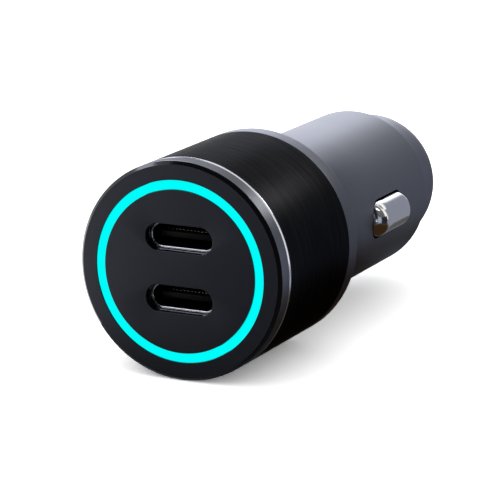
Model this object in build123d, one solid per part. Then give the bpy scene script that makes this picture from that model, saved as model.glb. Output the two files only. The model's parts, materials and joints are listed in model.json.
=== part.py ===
from build123d import *

import math
import os

# A charger plug for a car's 12 V socket: two USB-C ports in a lit round face, a grip sleeve, and a barrel
# with two sprung side contacts and a sprung tip. Millimetres. The axis is Y, and the plug goes in along +Y.
# The origin is on the axis where the barrel meets the flange; +Z is up, and the ports are wide along X.

# Head, from the face to the flange
head_diameter = 27.0
panel_rim = 0.5
panel_bevel = 0.42
panel_boss_depth = 1.4
panel_post_diameter = 2.0
panel_post_count = 4
trim_length = 2.0
trim_wall = 1.5
trim_bevel = 0.1
trim_spigot_length = 2.2
trim_spigot_wall = 0.45
sleeve_length = 17.3
sleeve_wall = 0.9
sleeve_bevel_depth = 0.12
sleeve_bevel_length = 0.25
head_tube_wall = 0.8
flange_thickness = 2.8
flange_web = 2.0
flange_edge_radius = 0.6

# Light ring in the face
ring_margin = 2.33
ring_width = 1.06
ring_depth = 1.15
ring_sunk = 0.05
ring_leg_diameter = 1.0
ring_leg_count = 4

# Ports
port_pitch = 7.55
port_rise = 0.3
opening_width = 8.34
opening_height = 2.7
shell_wall = 0.25
shell_recess = 1.3
shell_length = 9.3
slot_edge_bevel = 0.1
tongue_width = 6.7
tongue_thickness = 0.7
tongue_recess = 0.7
tongue_length = 4.5
strip_count = 12
strip_pitch = 0.5
strip_width = 0.26
strip_length = 3.6
strip_thickness = 0.1

# Barrel and the carrier inside it, which ends in the nose
barrel_diameter = 21.2
barrel_length = 29.0
barrel_draft = 0.03
barrel_wall = 1.4
barrel_end_bevel = 0.15
carrier_wall = 1.2
collar_wall = 1.1
nose_length = 10.5
nose_land = 0.75
nose_front_wall = 4.6

# Side contacts, one at each side of the barrel
contact_start = 11.35
contact_length = 8.85
contact_radius = 2.4
contact_stand = 1.65
contact_travel = 1.75
contact_wall = 0.45
contact_nose_radius = 1.9
contact_tail_radius = 0.7
contact_lip_length = 1.0
contact_lip_thickness = 0.5
contact_lip_width = 4.4
guide_margin = 0.15
bow_thickness = 0.25
bow_width = 3.4
bow_under_lip = 0.7
pocket_wall = 1.0
ground_tab_width = 2.0
ground_tab_thickness = 0.3

# Tip contact, its spring and its terminal
tip_diameter = 6.0
tip_stand = 2.4
tip_dome_radius = 1.7
tip_travel = 2.2
tip_collar_step = 0.9
tip_collar_length = 1.6
tip_spigot_diameter = 3.0
tip_spigot_length = 1.4
spring_wire = 0.6
spring_turns = 3.0
terminal_thickness = 0.8
prong_length = 2.6
prong_width = 3.0
prong_thickness = 0.4

# Boards and the parts on them
board_thickness = 1.2
board_groove = 0.3
tab_width = 3.0
tab_stand = 0.6
led_length = 1.6
led_width = 0.8
led_height = 0.6
inductor_side = 7.0
inductor_height = 4.2
inductor_corner = 0.8
inductor_start = 0.6
can_diameter = 6.0
can_length = 8.0
can_start = -1.0
can_groove = 0.25
can_seal_height = 1.5
output_can_diameter = 5.0
output_can_height = 5.6
output_can_spacing = 9.0
chip_length = 4.9
chip_width = 3.9
chip_height = 1.5
fuse_length = 6.1
fuse_width = 2.6
fuse_cap = 1.3
part_length = 1.6
part_width = 0.8
part_pitch = 2.2
part_count = 5

# Clearances
sliding_fit = 0.05
loose_fit = 0.1
window_gap = 0.2
light_gap = 0.15
board_gap = 0.3

# Places along the axis
flange_front = -flange_thickness
sleeve_front = flange_front - sleeve_length
trim_front = sleeve_front - trim_length
face = trim_front - panel_rim
panel_back = trim_front + panel_boss_depth
cavity_floor = -flange_web
shell_mouth = face + shell_recess
port_board_front = shell_mouth + shell_length
port_board_back = port_board_front + board_thickness
nose_end = barrel_length + nose_length
tip_end = nose_end + tip_stand
chamber_front = nose_end - nose_front_wall
collar_back = chamber_front - sliding_fit - tip_collar_length
spring_back = collar_back - spring_turns * spring_wire - tip_travel - 2 * spring_wire
terminal_back = spring_back - terminal_thickness
bulkhead = terminal_back - sliding_fit

# Radii from the axis
head_radius = head_diameter / 2
head_tube_radius = head_radius - sleeve_wall - loose_fit
head_bore = head_tube_radius - head_tube_wall
trim_bore = head_radius - trim_wall
spigot_radius = head_bore - sliding_fit
boss_radius = trim_bore - sliding_fit
ring_outer = head_radius - ring_margin
ring_inner = ring_outer - ring_width
ring_leg_circle = ring_inner + ring_leg_diameter / 2
barrel_radius = barrel_diameter / 2
barrel_bore = barrel_radius - barrel_wall
carrier_radius = barrel_bore - loose_fit
carrier_bore = carrier_radius - carrier_wall
collar_radius = head_bore - loose_fit
tip_radius = tip_diameter / 2
collar_of_tip = tip_radius + tip_collar_step
chamber_radius = collar_of_tip + loose_fit
tip_bore = tip_radius + sliding_fit
nose_radius = carrier_radius - tip_bore - nose_land
post_circle = ring_inner - ring_width - panel_post_diameter / 2

# Sizes that follow
shell_width = opening_width + 2 * shell_wall
shell_height = opening_height + 2 * shell_wall
slot_width = shell_width + 2 * sliding_fit
slot_height = shell_height + 2 * sliding_fit
port_heights = {"upper": port_rise + port_pitch / 2, "lower": port_rise - port_pitch / 2}
port_board_radius = head_bore - board_gap
board_half_width = carrier_bore + board_groove
contact_axis = barrel_radius + contact_stand - contact_radius
contact_end = contact_start + contact_length
lip_top = math.sqrt(barrel_bore**2 - (contact_lip_width / 2) ** 2) - sliding_fit
lip_bottom = lip_top - contact_lip_thickness
pocket_floor = lip_bottom - contact_travel - bow_thickness - sliding_fit
pocket_half_width = contact_radius + window_gap
pocket_start = contact_start - contact_lip_length - window_gap
pocket_end = contact_end + contact_lip_length + window_gap
contact_middle = (contact_start + contact_end) / 2
window_start = contact_start - window_gap
window_end = contact_end + window_gap
guide_length = window_start - guide_margin
barrel_end_radius = barrel_radius - barrel_draft
component_face = board_thickness / 2
ring_leg_angles = [45 + step * 360 / ring_leg_count for step in range(ring_leg_count)]


def corner(sketch, radius, along):
    """The profile's corner nearest to a radius and a place along the axis."""
    return sketch.vertices().sort_by_distance((radius, along, 0))[0]


def turned(points, rounds=(), bevels=()):
    """A ring or a plug turned about the axis from corners given as radius and place along the axis."""
    profile = make_face(Polyline(*points, close=True))
    for radius, along, size in rounds:
        profile = fillet(corner(profile, radius, along), size)
    for radius, along, size in bevels:
        profile = chamfer(corner(profile, radius, along), size)
    return revolve(profile, Axis.Y)


def along_y(sketch, low, high):
    """A sketch in X and Z, drawn out along the axis between two places."""
    plane = Plane((0, high, 0), x_dir=(1, 0, 0), z_dir=(0, -1, 0))
    return extrude(plane * sketch, high - low)


def along_x(sketch, low, high):
    """A sketch in Y and Z, drawn out sideways between two places."""
    plane = Plane((low, 0, 0), x_dir=(0, 1, 0), z_dir=(1, 0, 0))
    return extrude(plane * sketch, high - low)


def block(x_span, y_span, z_span):
    """A box from its spans in X, Y and Z."""
    spans = (x_span, y_span, z_span)
    sizes = [high - low for low, high in spans]
    middle = [(high + low) / 2 for low, high in spans]
    return Pos(*middle) * Box(*sizes)


def on_circle(radius, degrees):
    """A point in X and Z at an angle round the axis."""
    return radius * math.cos(math.radians(degrees)), radius * math.sin(math.radians(degrees))


def other_side(shape):
    """The same shape on the other side of the barrel."""
    return mirror(shape, Plane.YZ)


def make_housing():
    """Head tube, flange and barrel in one turned piece, with a window at each side of the barrel."""
    points = [
        (head_bore, sleeve_front),
        (head_tube_radius, sleeve_front),
        (head_tube_radius, flange_front),
        (head_radius, flange_front),
        (head_radius, 0),
        (barrel_radius, 0),
        (barrel_radius, guide_length),
        (barrel_end_radius, barrel_length),
        (barrel_bore, barrel_length),
        (barrel_bore, cavity_floor),
        (head_bore, cavity_floor),
    ]
    rounds = [(head_radius, 0, flange_edge_radius)]
    bevels = [(barrel_end_radius, barrel_length, barrel_end_bevel)]
    body = turned(points, rounds, bevels)
    window = shoe_outline(window_gap)
    return body - along_x(window, -head_radius, head_radius)


def make_grip_sleeve():
    """A plain tube over the head tube, with a bright cut bevel at its front edge."""
    points = [
        (head_tube_radius + loose_fit, sleeve_front),
        (head_radius - sleeve_bevel_depth, sleeve_front),
        (head_radius, sleeve_front + sleeve_bevel_length),
        (head_radius, flange_front),
        (head_tube_radius + loose_fit, flange_front),
    ]
    return turned(points)


def make_trim_ring():
    """The front ring: it seats the panel, and its spigot sits in the head tube."""
    points = [
        (trim_bore, trim_front),
        (head_radius, trim_front),
        (head_radius, sleeve_front),
        (spigot_radius, sleeve_front),
        (spigot_radius, sleeve_front + trim_spigot_length),
        (spigot_radius - trim_spigot_wall, sleeve_front + trim_spigot_length),
        (spigot_radius - trim_spigot_wall, panel_back),
        (trim_bore, panel_back),
    ]
    return turned(points, bevels=[(head_radius, sleeve_front, trim_bevel)])


def make_face_panel():
    """The moulded face: two port slots, a groove for the light ring and posts that hold the port board."""
    points = [
        (0, face),
        (head_radius, face),
        (head_radius, trim_front),
        (boss_radius, trim_front),
        (boss_radius, panel_back),
        (0, panel_back),
    ]
    panel = turned(points, bevels=[(head_radius, face, panel_bevel)])
    for step in range(panel_post_count):
        x, z = on_circle(post_circle, step * 360 / panel_post_count)
        panel += along_y(Pos(x, z) * Circle(panel_post_diameter / 2), panel_back, port_board_front)
    groove = Circle(ring_outer + sliding_fit) - Circle(ring_inner - sliding_fit)
    panel -= along_y(groove, face, face + ring_sunk + ring_depth)
    for degrees in ring_leg_angles:
        hole = Pos(*on_circle(ring_leg_circle, degrees)) * Circle(ring_leg_diameter / 2 + sliding_fit)
        panel -= along_y(hole, face, panel_back)
    for height in port_heights.values():
        panel -= along_y(Pos(0, height) * SlotOverall(slot_width, slot_height), face, panel_back)
        mouth = SlotOverall(slot_width + 2 * slot_edge_bevel, slot_height + 2 * slot_edge_bevel)
        mouth_plane = Plane((0, face, 0), x_dir=(1, 0, 0), z_dir=(0, -1, 0))
        panel -= extrude(mouth_plane * (Pos(0, height) * mouth), -slot_edge_bevel, taper=45)
    return panel


def make_light_ring():
    """The translucent ring, flush in the face, with legs that take the light from the LEDs."""
    front = face + ring_sunk
    ring = along_y(Circle(ring_outer) - Circle(ring_inner), front, front + ring_depth)
    leg_end = port_board_front - led_height - light_gap
    for degrees in ring_leg_angles:
        leg = Pos(*on_circle(ring_leg_circle, degrees)) * Circle(ring_leg_diameter / 2)
        ring += along_y(leg, front + ring_depth, leg_end)
    return ring


def make_carrier():
    """The moulded carrier: a collar under the port board, a tube for the main board and the nose."""
    flange_end = cavity_floor
    flange_start = cavity_floor - carrier_wall
    points = [
        (collar_radius - collar_wall, port_board_back),
        (collar_radius, port_board_back),
        (collar_radius, flange_end),
        (carrier_radius, flange_end),
        (carrier_radius, nose_end),
        (tip_bore, nose_end),
        (tip_bore, chamber_front),
        (chamber_radius, chamber_front),
        (chamber_radius, bulkhead),
        (carrier_bore, bulkhead),
        (carrier_bore, flange_start),
        (collar_radius - collar_wall, flange_start),
    ]
    body = turned(points, rounds=[(carrier_radius, nose_end, nose_radius)])
    half_slot = component_face + sliding_fit
    slot_half_width = board_half_width + sliding_fit
    body -= block((-half_slot, half_slot), (flange_start, bulkhead), (-slot_half_width, slot_half_width))
    wall_half_width = pocket_half_width + pocket_wall
    wall_start = pocket_start - pocket_wall
    wall_end = pocket_end + pocket_wall
    pocket = block(
        (pocket_floor - pocket_wall, carrier_radius),
        (wall_start, wall_end),
        (-wall_half_width, wall_half_width),
    )
    pocket = pocket & along_y(Circle(carrier_radius), wall_start, wall_end)
    opening = block(
        (pocket_floor, head_radius),
        (pocket_start, pocket_end),
        (-pocket_half_width, pocket_half_width),
    )
    slit_half_length = ground_tab_width / 2 + sliding_fit
    slit_half_width = ground_tab_thickness / 2 + sliding_fit
    slit = block(
        (0, pocket_floor + pocket_wall),
        (contact_middle - slit_half_length, contact_middle + slit_half_length),
        (-slit_half_width, slit_half_width),
    )
    for side in (pocket, other_side(pocket)):
        body += side
    for cut in (opening, slit):
        body -= cut
        body -= other_side(cut)
    return body


def make_port_board():
    """The round board behind the ports, with a slot for the main board's tab."""
    board = along_y(Circle(port_board_radius), port_board_front, port_board_back)
    slot = Rectangle(board_thickness + 2 * sliding_fit, tab_width + 2 * sliding_fit)
    return board - along_y(slot, port_board_front, port_board_back)


def make_main_board():
    """The power board, upright along the axis, between the port board and the tip's terminal."""
    board = block(
        (-component_face, component_face),
        (port_board_back, bulkhead),
        (-board_half_width, board_half_width),
    )
    tab = block(
        (-component_face, component_face),
        (port_board_front - tab_stand, port_board_back),
        (-tab_width / 2, tab_width / 2),
    )
    return board + tab


def make_usb_shell(height):
    """A port's drawn shell, open at the mouth and at the board."""
    section = SlotOverall(shell_width, shell_height) - SlotOverall(opening_width, opening_height)
    return along_y(Pos(0, height) * section, shell_mouth, port_board_front)


def make_usb_tongue(height):
    """A port's moulded tongue on its base, which fills the back of the shell."""
    tongue_front = shell_mouth + tongue_recess
    base_front = tongue_front + tongue_length
    blade = Pos(0, height) * Rectangle(tongue_width, tongue_thickness)
    base = Pos(0, height) * SlotOverall(opening_width - 2 * sliding_fit, opening_height - 2 * sliding_fit)
    return along_y(blade, tongue_front, base_front) + along_y(base, base_front, port_board_front)


def make_usb_contacts(height):
    """The contact strips on both faces of a tongue."""
    base_front = shell_mouth + tongue_recess + tongue_length
    strips = []
    for face_sign in (-1, 1):
        level = height + face_sign * (tongue_thickness + strip_thickness) / 2
        for step in range(strip_count):
            across = (step - (strip_count - 1) / 2) * strip_pitch
            section = Pos(across, level) * Rectangle(strip_width, strip_thickness)
            strips.append(along_y(section, base_front - strip_length, base_front))
    return strips


def make_ring_leds():
    """One LED on the port board under each leg of the light ring."""
    leds = []
    for degrees in ring_leg_angles:
        x, z = on_circle(ring_leg_circle, degrees)
        body = Pos(x, z) * Rot(0, 0, degrees + 90) * Rectangle(led_length, led_width)
        leds.append(along_y(body, port_board_front - led_height, port_board_front))
    return leds


def make_power_inductor():
    """A moulded power inductor on the board's right face."""
    middle = inductor_start + inductor_side / 2
    section = Pos(middle, 0) * RectangleRounded(inductor_side, inductor_side, inductor_corner)
    return along_x(section, component_face, component_face + inductor_height)


def make_input_capacitor():
    """The input capacitor's can, lying on the board's left face, with the rolled groove of its seal."""
    radius = can_diameter / 2
    groove_start = can_length - can_seal_height
    points = [
        (0, 0),
        (radius, 0),
        (radius, groove_start),
        (radius - can_groove, groove_start + can_groove),
        (radius, groove_start + 2 * can_groove),
        (radius, can_length),
        (0, can_length),
    ]
    can = turned(points, rounds=[(radius, 0, can_groove), (radius, can_length, can_groove)])
    return Pos(-component_face - radius, can_start, 0) * can


def make_output_capacitors():
    """Two capacitors standing on the board's right face, behind the ports."""
    along = (port_board_back + cavity_floor - carrier_wall) / 2
    cans = []
    for sign in (-1, 1):
        section = Pos(along, sign * output_can_spacing / 2) * Circle(output_can_diameter / 2)
        cans.append(along_x(section, component_face, component_face + output_can_height))
    return cans


def make_control_chips():
    """The converter's chips on the board's left face."""
    along = (port_board_back + cavity_floor - carrier_wall) / 2
    chips = []
    for height in (-output_can_spacing / 2, output_can_spacing / 2):
        section = Pos(along, height) * Rectangle(chip_length, chip_width)
        chips.append(along_x(section, -component_face - chip_height, -component_face))
    return chips


def make_input_fuse():
    """The input fuse: a square body between two end caps, on the board's left face by the side contacts."""
    middle = contact_start + fuse_length / 2
    level = -contact_radius - pocket_wall
    waist_length = fuse_length - 2 * fuse_cap
    caps = Rectangle(fuse_length, fuse_width) - Rectangle(waist_length, fuse_width)
    section = caps + Rectangle(waist_length, fuse_width - 2 * loose_fit)
    return along_x(Pos(middle, level) * section, -component_face - fuse_width, -component_face)


def make_chip_components():
    """Small ceramic parts in a row on the board's right face, beside the side contact's pocket."""
    parts = []
    for step in range(part_count):
        along = contact_start + part_pitch * step
        section = Pos(along, contact_radius + pocket_wall) * Rectangle(part_length, part_width)
        parts.append(along_x(section, component_face, component_face + part_width))
    return parts


def shoe_outline(grow):
    """A shoe's outline from the barrel's side, in Y and Z, grown for a window or shrunk for its inside."""
    length = contact_length + 2 * grow
    outline = Pos(contact_middle, 0) * Rectangle(length, 2 * (contact_radius + grow))
    outline = fillet(outline.vertices().sort_by(Axis.X)[:2], contact_nose_radius + grow)
    return fillet(outline.vertices().sort_by(Axis.X)[-2:], contact_tail_radius + grow)


def shoe_round(grow):
    """The shoe's round top about its own axis, grown all round or shrunk inside."""
    radius = contact_radius + grow
    start = contact_start - grow
    end = contact_end + grow
    rounds = [(radius, start, contact_nose_radius + grow), (radius, end, contact_tail_radius + grow)]
    top = turned([(0, start), (radius, start), (radius, end), (0, end)], rounds)
    return Pos(contact_axis, 0, 0) * top


def make_side_contact():
    """A drawn shoe: half-round on top, open below, with a lip at each end that the barrel's wall holds in."""
    below = block((-head_radius, lip_bottom), (0, barrel_length), (-head_radius, head_radius))
    shoe = shoe_round(0) + along_x(shoe_outline(0), lip_bottom, contact_axis)
    hollow = shoe_round(-contact_wall) + along_x(shoe_outline(-contact_wall), lip_bottom, contact_axis)
    front_lip = (contact_start - contact_lip_length, contact_start + contact_wall)
    back_lip = (contact_end - contact_wall, contact_end + contact_lip_length)
    shoe = shoe - below - hollow
    for lip in (front_lip, back_lip):
        shoe += block((lip_bottom, lip_top), lip, (-contact_lip_width / 2, contact_lip_width / 2))
    return shoe


def make_contact_spring():
    """A bowed leaf: its middle rests on the pocket's floor and its ends carry the shoe's lips."""
    half_span = contact_length / 2 + bow_under_lip
    rise = lip_bottom - sliding_fit - pocket_floor - sliding_fit - bow_thickness
    bow_radius = (half_span**2 + rise**2) / (2 * rise)
    low = pocket_floor + sliding_fit
    bow_centre = (low + bow_thickness + bow_radius, contact_middle)
    half_angle = math.degrees(math.asin(half_span / bow_radius))
    arc = CenterArc(bow_centre, bow_radius + bow_thickness / 2, 180 - half_angle, 2 * half_angle)
    leaf = trace(arc, bow_thickness)
    return extrude(leaf, bow_width / 2, both=True)


def make_ground_tab():
    """A strip from the board's face through the pocket's floor to the bowed leaf."""
    return block(
        (component_face, pocket_floor),
        (contact_middle - ground_tab_width / 2, contact_middle + ground_tab_width / 2),
        (-ground_tab_thickness / 2, ground_tab_thickness / 2),
    )


def make_tip_contact():
    """The centre pin: a domed end, a collar that the nose holds in, and a spigot for its spring."""
    collar_front = collar_back + tip_collar_length
    spigot = tip_spigot_diameter / 2
    points = [
        (0, collar_back - tip_spigot_length),
        (spigot, collar_back - tip_spigot_length),
        (spigot, collar_back),
        (collar_of_tip, collar_back),
        (collar_of_tip, collar_front),
        (tip_radius, collar_front),
        (tip_radius, tip_end),
        (0, tip_end),
    ]
    return turned(points, rounds=[(tip_radius, tip_end, tip_dome_radius)])


def make_tip_spring():
    """The coil spring between the terminal and the pin's collar."""
    coil_radius = tip_spigot_diameter / 2 + loose_fit + spring_wire
    start = spring_back + spring_wire / 2 + sliding_fit
    length = collar_back - spring_wire / 2 - sliding_fit - start
    path = Helix(length / spring_turns, length, coil_radius, center=(0, start, 0), direction=(0, 1, 0))
    section = Plane(path @ 0, z_dir=path % 0) * Circle(spring_wire / 2)
    return sweep(section, path)


def make_tip_terminal():
    """The brass disc that seats the spring, with two prongs astride the board's end."""
    disc = along_y(Circle(chamber_radius - loose_fit), terminal_back, spring_back)
    near = component_face + sliding_fit
    prong = block(
        (near, near + prong_thickness),
        (terminal_back - prong_length, terminal_back),
        (-prong_width / 2, prong_width / 2),
    )
    return disc + prong + other_side(prong)


def write(name, shape):
    """Writes one sub-part; a list is a group of separate solids."""
    solids = shape if isinstance(shape, list) else [shape]
    found = [solid for item in solids for solid in item.solids()]
    export_step(found[0] if len(found) == 1 else Compound(found), os.path.join("parts", name + ".step"))


def main():
    os.makedirs("parts", exist_ok=True)
    write("housing", make_housing())
    write("grip_sleeve", make_grip_sleeve())
    write("trim_ring", make_trim_ring())
    write("face_panel", make_face_panel())
    write("light_ring", make_light_ring())
    write("carrier", make_carrier())
    write("port_board", make_port_board())
    write("main_board", make_main_board())
    for name, height in port_heights.items():
        write("usb_shell_" + name, make_usb_shell(height))
        write("usb_tongue_" + name, make_usb_tongue(height))
        write("usb_contacts_" + name, make_usb_contacts(height))
    write("ring_leds", make_ring_leds())
    write("power_inductor", make_power_inductor())
    write("input_capacitor", make_input_capacitor())
    write("output_capacitors", make_output_capacitors())
    write("control_chips", make_control_chips())
    write("input_fuse", make_input_fuse())
    write("chip_components", make_chip_components())
    contact = make_side_contact()
    write("side_contact_right", contact)
    write("side_contact_left", other_side(contact))
    spring = make_contact_spring()
    write("contact_spring_right", spring)
    write("contact_spring_left", other_side(spring))
    tab = make_ground_tab()
    write("ground_tabs", [tab, other_side(tab)])
    write("tip_contact", make_tip_contact())
    write("tip_spring", make_tip_spring())
    write("tip_terminal", make_tip_terminal())


main()
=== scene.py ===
# %% [markdown]
# # Dressing a car charger plug
# The plug lies along Y: its lit face looks along -Y, and the barrel that goes into the socket points
# along +Y. A imported model already holds every piece at its true size. This lesson keeps that model as the
# frame, and makes finer meshes and finishes for what the eye can reach. First the frame is loaded. The
# dressed plug has to stay inside it.

# %% Load the frame
import json
import math

import bmesh
import bpy
from mathutils import Matrix, Vector


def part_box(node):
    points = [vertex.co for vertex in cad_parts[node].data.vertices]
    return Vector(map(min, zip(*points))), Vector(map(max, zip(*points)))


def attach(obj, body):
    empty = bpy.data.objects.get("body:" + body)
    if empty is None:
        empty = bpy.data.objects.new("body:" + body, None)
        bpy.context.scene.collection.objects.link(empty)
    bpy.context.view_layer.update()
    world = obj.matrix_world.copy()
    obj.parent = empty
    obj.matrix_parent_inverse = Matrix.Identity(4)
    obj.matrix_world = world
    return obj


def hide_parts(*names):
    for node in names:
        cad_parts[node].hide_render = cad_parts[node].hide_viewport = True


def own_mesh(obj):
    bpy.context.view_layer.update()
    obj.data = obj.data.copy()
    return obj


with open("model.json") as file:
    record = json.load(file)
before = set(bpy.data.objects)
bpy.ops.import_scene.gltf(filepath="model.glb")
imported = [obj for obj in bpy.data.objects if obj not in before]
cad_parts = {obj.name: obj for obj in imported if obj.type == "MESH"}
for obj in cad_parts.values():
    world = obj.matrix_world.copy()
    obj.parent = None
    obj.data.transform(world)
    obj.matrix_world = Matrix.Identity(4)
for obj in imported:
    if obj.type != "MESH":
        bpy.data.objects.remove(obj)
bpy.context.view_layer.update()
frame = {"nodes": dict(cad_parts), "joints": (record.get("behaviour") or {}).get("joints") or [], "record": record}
MM = 0.001


# %% [markdown]
# Most sizes can be read off the frame, so that a mesh goes where its node is. A node's box gives its ends
# and its outer radius. What a box can't tell, such as a wall or a rounding, is written once, in
# millimetres, where it is first needed.

# %% Sizes from the frame, in millimetres
def span(node):
    """A node's lowest and highest corner, in millimetres."""
    low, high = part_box(node)
    return low / MM, high / MM


def ends(node):
    """Where a node starts and ends along the plug."""
    low, high = span(node)
    return low.y, high.y


face = ends("face_panel")[0]
trim_front, trim_back = ends("trim_ring")
sleeve_front, flange_front = ends("grip_sleeve")
barrel_end = ends("housing")[1]
nose_end = ends("carrier")[1]
head_radius = span("grip_sleeve")[1].x
print(f"head radius {head_radius:.2f} mm; face at {face:.2f}, end of the nose at {nose_end:.2f} mm")


# %% [markdown]
# ## Three ways to make a mesh
# Nearly everything here was turned on a lathe, drawn or moulded, so three helpers make most of the plug.
# One turns the corners of an outline into arcs. A real edge is never perfectly sharp, and its small round
# is what catches the light. Each arc also gets a support point beyond each end: without it, smooth
# shading would bend the long faces next to it. The second helper joins rings of points into a skin. The
# third carries an outline round a circle, or round a slot, which is only a circle pulled apart along X.

# %% Outlines
ARC_STEPS = 6


def rounded(corners):
    """A closed outline whose corners (a, b, radius) become arcs, with a support point beyond each end."""
    points = []
    for index, (a, b, radius) in enumerate(corners):
        here = Vector((a, b))
        if not radius:
            points.append((a, b))
            continue
        before = Vector(corners[index - 1][:2]) - here
        after = Vector(corners[(index + 1) % len(corners)][:2]) - here
        half = before.angle(after) / 2
        reach = radius / math.tan(half)
        inward = (before.normalized() + after.normalized()).normalized()
        centre = here + inward * radius / math.sin(half)
        first = here + before.normalized() * reach - centre
        last = here + after.normalized() * reach - centre
        start = math.atan2(first.y, first.x)
        turn = math.atan2(first.cross(last), first.dot(last))
        room = [max(side.length - reach, 0) for side in (before, after)]
        support = [reach + min(radius / 2, free / 4) for free in room]
        points.append(tuple(here + before.normalized() * support[0]))
        for step in range(ARC_STEPS + 1):
            angle = start + turn * step / ARC_STEPS
            points.append((centre.x + radius * math.cos(angle), centre.y + radius * math.sin(angle)))
        points.append(tuple(here + after.normalized() * support[1]))
    return points


print("outlines ready; an arc has", ARC_STEPS, "steps")

# %% Skins
ROUND_STEPS, SLOT_STEPS = 256, 96
SMOOTH_BELOW = math.radians(32)
MERGE_BELOW = 1e-7


def piece_from(name, bm):
    """A new object from a bmesh: doubles merged, normals out, smooth up to a set angle."""
    bmesh.ops.remove_doubles(bm, verts=bm.verts, dist=MERGE_BELOW)
    bmesh.ops.recalc_face_normals(bm, faces=bm.faces)
    mesh = bpy.data.meshes.new(name)
    bm.to_mesh(mesh)
    bm.free()
    mesh.shade_smooth()
    mesh.set_sharp_from_angle(angle=SMOOTH_BELOW)
    piece = bpy.data.objects.new(name, mesh)
    bpy.context.scene.collection.objects.link(piece)
    return piece


def skinned(name, rings, wrap=False, caps=False):
    """Joins rings of points, in millimetres, each to the next; wrap also joins the last to the first."""
    bm = bmesh.new()
    rows = [[bm.verts.new(Vector(point) * MM) for point in ring] for ring in rings]
    followers = rows[1:] + rows[:1] if wrap else rows[1:]
    for row, following in zip(rows, followers):
        for step in range(len(row)):
            onward = (step + 1) % len(row)
            bm.faces.new((row[step], row[onward], following[onward], following[step]))
    if caps:
        bm.faces.new(rows[0])
        bm.faces.new(rows[-1])
    return piece_from(name, bm)


def slot_ring(radius, along, half_run, centre, steps):
    """A circle about the axis, or a slot when half_run pulls its two halves apart along X."""
    ring = []
    for step in range(steps):
        angle = 2 * math.pi * (step + 0.5) / steps
        x = math.copysign(half_run, math.cos(angle)) + radius * math.cos(angle)
        ring.append((centre[0] + x, along, centre[1] + radius * math.sin(angle)))
    return ring


def spun(name, profile, half_run=0.0, centre=(0.0, 0.0), steps=ROUND_STEPS):
    """Carries a closed profile of (radius, along) points round the axis; points at radius 0 close on it."""
    rings = [slot_ring(radius, along, half_run, centre, steps) for radius, along in profile]
    on_axis = min(radius for radius, along in profile) == 0
    return skinned(name, rings, wrap=not on_axis)


print("skins ready; a full turn has", ROUND_STEPS, "steps")


# %% [markdown]
# Openings are cut afterwards with a Boolean, which works like a milling cutter: the cutter is a mesh of
# its own, and it is thrown away when its cut is made. Small straight things, such as contact strips, are
# slabs with a fine bevel.

# %% Cutting, joining and slabs
def baked(piece):
    """Applies a piece's modifiers to its mesh."""
    graph = bpy.context.evaluated_depsgraph_get()
    mesh = bpy.data.meshes.new_from_object(piece.evaluated_get(graph))
    piece.modifiers.clear()
    piece.data = mesh
    mesh.shade_smooth()
    mesh.set_sharp_from_angle(angle=SMOOTH_BELOW)


def cut(piece, *cutters, careful=False):
    """Takes the cutters out of a piece and removes them; careful is slower, for a cut through two walls."""
    for cutter in cutters:
        modifier = piece.modifiers.new("cut", "BOOLEAN")
        modifier.operation = "DIFFERENCE"
        modifier.solver = "EXACT"
        modifier.use_self = careful
        modifier.object = cutter
    baked(piece)
    for cutter in cutters:
        bpy.data.objects.remove(cutter)
    return piece


def joined(name, *parts):
    """One piece from several that touch or stand apart."""
    bm = bmesh.new()
    for part in parts:
        bm.from_mesh(part.data)
        bpy.data.objects.remove(part)
    return piece_from(name, bm)


def slab(low, high, edge):
    """A box between two corners, in millimetres, with its edges bevelled."""
    bm = bmesh.new()
    size = Vector(high) - Vector(low)
    middle = (Vector(high) + Vector(low)) / 2
    bmesh.ops.create_cube(bm, size=1.0, matrix=Matrix.LocRotScale(middle * MM, None, size * MM))
    bmesh.ops.bevel(bm, geom=bm.edges[:], offset=edge * MM, segments=2, profile=0.5, affect="EDGES")
    return piece_from("slab", bm)


print("cutters ready")


# %% [markdown]
# ## Shader maths as plain expressions
# A finish is a small graph of nodes, and most of it is arithmetic. The class below wraps one output
# socket, so that `1 - mask` or `rough + 0.1 * grain` adds its own Math nodes. Any other node comes from
# its one method: the settings go in first, because they can change which sockets a node has, and then the
# values or links of its sockets.

# %% A socket that can be calculated with
class Wire:
    """An output socket of a node tree, with arithmetic."""

    def __init__(self, tree, socket=None):
        self.tree = tree
        self.socket = socket

    def node(self, kind, settings=None, inputs=None, out=0):
        """Adds a node: first its settings, then its sockets, each with a value or a link."""
        made = self.tree.nodes.new("ShaderNode" + kind)
        for name, value in (settings or {}).items():
            setattr(made, name, value)
        for name, value in (inputs or {}).items():
            if isinstance(value, Wire):
                self.tree.links.new(value.socket, made.inputs[name])
            else:
                made.inputs[name].default_value = value
        return Wire(self.tree, made.outputs[out])

    def math(self, operation, first, second):
        return self.node("Math", {"operation": operation}, {0: first, 1: second})

    def __add__(self, other):
        return self.math("ADD", self, other)

    def __radd__(self, other):
        return self.math("ADD", other, self)

    def __sub__(self, other):
        return self.math("SUBTRACT", self, other)

    def __rsub__(self, other):
        return self.math("SUBTRACT", other, self)

    def __mul__(self, other):
        return self.math("MULTIPLY", self, other)

    def __rmul__(self, other):
        return self.math("MULTIPLY", other, self)

    def __gt__(self, other):
        return self.math("GREATER_THAN", self, other)

    def __lt__(self, other):
        return self.math("LESS_THAN", self, other)


print("shader maths ready")


# %% Helpers for finishes
def finish(name, metallic, rough, constants=None):
    """A new material, its surface shader and the place of each point on the piece."""
    material = bpy.data.materials.new(name)
    material.use_nodes = True
    tree = material.node_tree
    shader = tree.nodes["Principled BSDF"]
    shader.inputs["Metallic"].default_value = metallic
    shader.inputs["Roughness"].default_value = rough
    for key, value in (constants or {}).items():
        shader.inputs[key].default_value = value
    return material, shader, Wire(tree).node("TexCoord", out="Object")


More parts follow.
